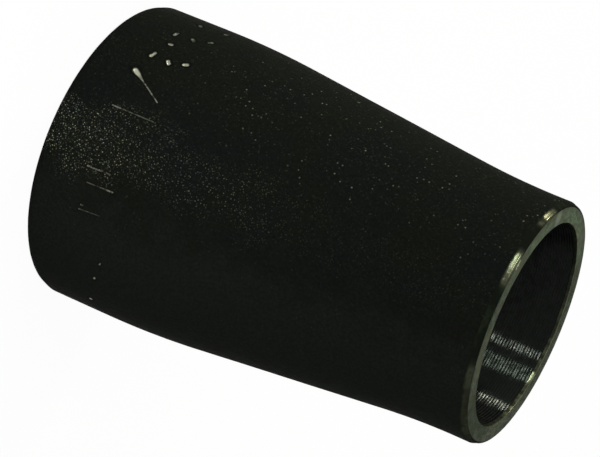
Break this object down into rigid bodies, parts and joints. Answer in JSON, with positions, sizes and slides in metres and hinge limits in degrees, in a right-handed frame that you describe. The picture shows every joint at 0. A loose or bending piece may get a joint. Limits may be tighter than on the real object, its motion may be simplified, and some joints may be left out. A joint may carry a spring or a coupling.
{
  "type": "pipe reducer",
  "caption": "Concentric butt-weld pipe reducer: a short dark steel tube that tapers in a long smooth bend from a wide end to a narrow one, with square faced ends.",
  "frame": {"origin": "centre of the wide end's flat face", "axes": "+Z along the bore from the wide end to the narrow end; the part is round about Z, so X and Y are free"},
  "size_m": [0.0338, 0.0336, 0.051],
  "materials": {
    "black_steel": "satin black on a fine grainy skin, bare machined end faces"
  },
  "bodies": {
    "root": {"reducer_body": "black_steel"}
  },
  "joints": []
}
